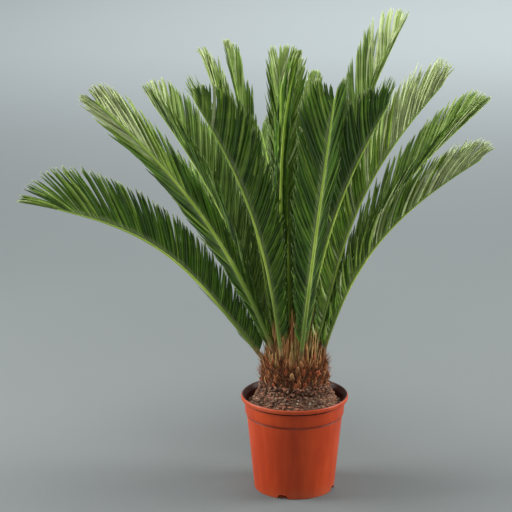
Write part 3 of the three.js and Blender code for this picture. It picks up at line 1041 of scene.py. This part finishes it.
def rib_size(share, neck):
    """Width and depth of the rib. The neck is at the first long leaflet."""
    if share < neck:
        t = smooth(share / neck)
        return mix(Rib.stalk_width, Rib.neck_width, t), mix(Rib.stalk_depth, Rib.neck_depth, t)
    t = (share - neck) / (1 - neck)
    return mix(Rib.neck_width, Rib.tip_width, t), mix(Rib.neck_depth, Rib.tip_depth, t)


def make_stalks(finish):
    """All the ribs as one piece, each from its foot in the trunk to its tip."""
    points = []
    faces = []
    along = []
    shares = [i / (Rib.stations - 1) for i in range(Rib.stations)]
    for frond in CROWN:
        start = len(points)
        for station in rib_stations(frond, shares):
            width, depth = rib_size(station.share, frond.bare / frond.length)
            sunk = Rib.sunk if station.share == 0 else 0
            for k in range(Rib.sides):
                angle = 2 * math.pi * k / Rib.sides
                flat = Rib.upper_side if math.sin(angle) > 0 else 1
                points.append(
                    station.place
                    - station.along * sunk
                    + station.side * math.cos(angle) * width / 2
                    + station.face * math.sin(angle) * flat * depth / 2
                )
                along.append(station.share)
        faces += tube_faces(start, Rib.stations, Rib.sides)
        faces.append(tuple(reversed(range(start, start + Rib.sides))))
        faces.append(tuple(range(len(points) - Rib.sides, len(points))))
    stalks = mesh_object("frond_ribs", points, faces, [finish])
    stalks.data.attributes.new("along", "FLOAT", "POINT").data.foreach_set("value", along)
    mend_normals(stalks)
    stalks.data.shade_smooth()
    return stalks


def leaflet_length(blade, spread):
    """Share of the full length. Young fronds, whose spread is small, are more pointed."""
    broadest = Leaflet.broadest * max(1, spread) ** 2
    swell = mix(Leaflet.foot_share, 1, math.sin(math.pi / 2 * clamp01(blade / broadest)))
    loss = min(Leaflet.young_tip_loss, Leaflet.tip_loss + 1 - spread)
    if spread > 1:
        loss = Leaflet.wide_tip_loss
    return swell * (1 - loss * clamp01((blade - Leaflet.tip_from) / (1 - Leaflet.tip_from)) ** 2)


def leaflet_sweep(blade, spread):
    """Angle of a leaflet to the rib. Those of a wide frond close up again at its tip."""
    if spread > 1:
        wide = mix(1, spread, Leaflet.wide_sweep)
        closing = smooth((blade - Leaflet.wide_close_from) / (1 - Leaflet.wide_close_from))
        spread = mix(wide, Leaflet.wide_close, closing)
    if blade < 0.5:
        return spread * mix(Leaflet.sweep_foot, Leaflet.sweep_middle, blade / 0.5)
    return spread * mix(Leaflet.sweep_middle, Leaflet.sweep_tip, (blade - 0.5) / 0.5)


LEAF_OUTLINE = [(-1, -0.28), (0, -0.2), (1, -0.28), (0.45, 0.06), (-0.45, 0.06)]
LEAF_SECTIONS = [(0, 0.5), (0.07, 0.85), (0.3, 1), (0.62, 0.96), (0.84, 0.7), (0.95, 0.32), (1, 0)]
LEAF_BENDS = [(3, 1), (4.5, 2), (6, 3.2)]  # bow and droop, in half widths


def leaflet_forms():
    """Leaflets that bow towards the frond's tip: three for its right side, three for its left."""
    forms = []
    for hand in (-1, 1):
        for bow, droop in LEAF_BENDS:
            name = f"leaflet_{len(forms)}"
            forms.append(blade_form(name, LEAF_SECTIONS, LEAF_OUTLINE, hand * bow, droop))
    return forms


def leaflet_seats(number):
    """Seats of one frond's leaflets, from the stalk's neck to the tip."""
    dice = random.Random(100 + number)
    frond = CROWN[number]
    neck = frond.bare / frond.length
    seats = []
    low = -Leaflet.below_neck / (frond.length - frond.bare)
    count = 2 * Leaflet.pairs
    longest = Leaflet.length * mix(Leaflet.young_length, 1, frond.spread)
    longest *= frond.length / Leaflet.usual_length
    if frond.spread > 1:
        count = round(count * Leaflet.wide_crowding)
        longest *= Leaflet.wide_length
    blades = [mix(low, 1, (i + 0.5) / count) for i in range(count)]
    stations = rib_stations(frond, [mix(neck, 1, blade) for blade in blades])
    for i, (blade, station) in enumerate(zip(blades, stations)):
        hand = 1 if i % 2 else -1
        sweep = math.radians(leaflet_sweep(blade, frond.spread) + dice.gauss(0, 1.6))
        vee = math.radians(Leaflet.vee + dice.gauss(0, 3))
        side = station.side * hand
        outward = side * math.cos(vee) + station.face * math.sin(vee)
        aim = station.along * math.cos(sweep) + outward * math.sin(sweep)
        top = station.face * math.cos(vee) - side * math.sin(vee)
        twist = math.radians(Leaflet.louver + dice.gauss(0, 5)) * hand
        top = Matrix.Rotation(twist, 3, aim) @ top
        width, _ = rib_size(station.share, neck)
        place = station.place + side * width * 0.36 + station.face * 0.0006
        share = leaflet_length(blade, frond.spread)
        length = longest * share * dice.uniform(0.93, 1)
        half = Leaflet.width / 2 * mix(Leaflet.tip_width, 1, share) * dice.uniform(0.9, 1.08)
        form = (0 if hand > 0 else len(LEAF_BENDS)) + dice.choice((0, 1, 1, 2))
        # Tip leaflets step to lighter tones: partly their own paler tips, partly painted backlight.
        tip_paling_and_backlight = Leaflet.tip_paling_and_backlight * frond.pale * smooth((blade - 0.5) / 0.5)
        tone = Leaflet.lightening * frond.tone + tip_paling_and_backlight + dice.gauss(0, Leaflet.tone_scatter)
        tone = min(len(LEAF_TONES) - 1, max(0, round(tone)))
        seats.append(Seat(place, aim, top, half, length, form, tone))
    return seats


def make_spines(finish):
    """Short stiff spines on both edges of each bare stalk."""
    dice = random.Random(81)
    seats = []
    for frond in CROWN:
        neck = frond.bare / frond.length
        shares = [mix(0.35, 1, i / 5) * neck for i in range(6)]
        for station in rib_stations(frond, shares):
            width, _ = rib_size(station.share, neck)
            for hand in (-1, 1):
                side = station.side * hand
                place = station.place + side * width * 0.4
                aim = side + station.along * 0.8 + station.face * dice.uniform(-0.1, 0.4)
                long = dice.uniform(0.006, 0.013) * mix(0.5, 1, station.share / neck)
                seats.append(Seat(place, aim, station.face, 0.0011, long, 0, 0))
    outline = [(1, 0), (0.3, 0.8), (-0.8, 0.5), (-0.8, -0.5), (0.3, -0.8)]
    form = blade_form("spine", [(0, 1), (0.4, 0.7), (1, 0)], outline)
    return planted("stalk_spines", seats, [form], [finish], seed=10, variation=0.2)


# ---- studio


def area_light(name, place, aim, size, power, colour=(1, 1, 1)):
    light = bpy.data.lights.new(name, "AREA")
    light.shape = "RECTANGLE"
    light.size, light.size_y = size
    light.energy = power
    light.color = colour
    lamp = new_object(name, light)
    lamp.location = place
    lamp.rotation_euler = (Vector(aim) - Vector(place)).to_track_quat("-Z", "Y").to_euler()


def make_studio():
    middle = (0, 0, 0.55)
    for side, x, power in (("left", -2.3, 92), ("right", 2.3, 80)):
        area_light(f"softbox_{side}", (x, 0.1, 1.5), middle, (1.4, 2), power, (1, 0.98, 0.94))
    area_light("softbox_top", (0, 0.2, 3.2), middle, (2, 1.6), 70)
    area_light("fill_front", (0.4, -4.2, 2.4), middle, (2, 1.4), 36)
    area_light("backdrop", (2.4, 7, 4), (2.4, 7, 0), (8, 6), 310)
    world = bpy.data.worlds.new("studio")
    world.use_nodes = True
    backdrop = world.node_tree.nodes["Background"]
    backdrop.inputs["Color"].default_value = (0.62, 0.64, 0.64, 1)
    backdrop.inputs["Strength"].default_value = 0.3
    bpy.context.scene.world = world
    reach = 30
    corners = [(reach * x, reach * y, 0) for x, y in ((-1, -1), (1, -1), (1, 1), (-1, 1))]
    floor = mesh_object("studio_floor", corners, [(0, 1, 2, 3)], [floor_finish()])


def make_camera():
    """Long lens a little above the plant, looking slightly down."""
    view = bpy.data.cameras.new("camera")
    view.lens = 144
    view.sensor_width = 36
    camera = new_object("camera", view)
    camera.location = (-0.0866, -4.35, 1.72)
    camera.rotation_euler = (math.radians(90 - 15.2), 0, 0)
    bpy.context.scene.camera = camera


# ---- assembly


LEAF_TONES = [
    # name, upper face, under face
    ("deep", (0.02, 0.062, 0.003), (0.048, 0.102, 0.008)),
    ("dark", (0.042, 0.114, 0.005), (0.082, 0.156, 0.014)),
    ("mid", (0.09, 0.19, 0.012), (0.135, 0.23, 0.032)),
    ("fresh", (0.2, 0.32, 0.038), (0.25, 0.35, 0.095)),
    ("pale", (0.44, 0.53, 0.23), (0.48, 0.56, 0.3)),
]
LEAF_TIP = (0.38, 0.46, 0.2)


def bake_map(piece):
    """Lays the blades of each finish over each other in a strip of their own."""
    mesh = piece.data
    strips = len(mesh.materials)
    source = mesh.uv_layers["Blade"].data
    target = mesh.uv_layers.new(name="OFBake").data
    for face in mesh.polygons:
        for loop in face.loop_indices:
            u, v = source[loop].uv
            target[loop].uv = (mix(0.02, 0.98, u), (face.material_index + mix(0.1, 0.9, v)) / strips)


def finish_piece(piece, slot, fronds=()):
    """Hands a piece over, in place of the solids of some fronds, or of its slot's own."""
    nodes = [f"frond_{number + 1:02d}" for number in fronds] or [slot]
    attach(piece, BODY)
    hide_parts(*nodes)


make_camera()
make_studio()

# The inner finish is a darkened copy of the plastic: painted shade.
finish_piece(make_pot(pot_finish("pot_plastic", 0), pot_finish("pot_inner_wall", 0.92)), "pot")

soil_looks = [
    soil_finish("soil_dark", (0.062, 0.033, 0.021), (0.25, 0.14, 0.092)),
    soil_finish("bark_chip", (0.16, 0.084, 0.054), (0.46, 0.27, 0.18)),
    soil_finish("bark_chip_red", (0.17, 0.062, 0.037), (0.46, 0.19, 0.115)),
    soil_finish("grit", (0.19, 0.155, 0.115), (0.43, 0.36, 0.27)),
]
finish_piece(make_soil(soil_looks[0]), "soil")
finish_piece(make_chips(soil_looks), "soil")

husks = [
    husk_finish("husk_rust", (0.215, 0.048, 0.017), (0.45, 0.13, 0.056)),
    husk_finish("husk_brown", (0.175, 0.054, 0.021), (0.46, 0.17, 0.07)),
    husk_finish("husk_tan", (0.24, 0.115, 0.045), (0.58, 0.33, 0.15)),
    husk_finish("husk_dark", (0.04, 0.013, 0.006), (0.15, 0.052, 0.024)),
]
scales = [
    husk_finish("scale_gold", (0.23, 0.115, 0.04), (0.56, 0.33, 0.13), 0.7),
    husk_finish("scale_brown", (0.18, 0.066, 0.026), (0.44, 0.19, 0.078), 0.7),
    husk_finish("scale_olive", (0.15, 0.105, 0.034), (0.4, 0.3, 0.11), 0.7),
]
wools = [
    wool_finish("wool_tan", (0.42, 0.2, 0.085)),
    wool_finish("wool_rust", (0.36, 0.105, 0.04)),
    wool_finish("wool_dark", (0.07, 0.028, 0.013)),
]
finish_piece(make_trunk_heart(trunk_finish()), "trunk")
finish_piece(make_leaf_bases(husks), "trunk")
finish_piece(make_scale_leaves(scales), "trunk")
finish_piece(make_wool(wools), "trunk")

all_fronds = range(len(CROWN))
finish_piece(make_stalks(stalk_finish()), "frond", all_fronds)
finish_piece(make_spines(husks[1]), "frond", all_fronds)
leaf_looks = [
    (leaflet_finish("leaf_" + name, upper, 0.3, 0.08), leaflet_finish(f"leaf_{name}_under", under, 0.48, 0))
    for name, upper, under in LEAF_TONES
]
for part, members in CROWN_PARTS.items():
    seats = [seat for number in members for seat in leaflet_seats(number)]
    leaflets = planted(f"leaflets_{part}", seats, leaflet_forms(), leaf_looks, seed=9)
    bake_map(leaflets)
    finish_piece(leaflets, "frond", members)

bpy.context.scene.view_settings.view_transform = "Standard"
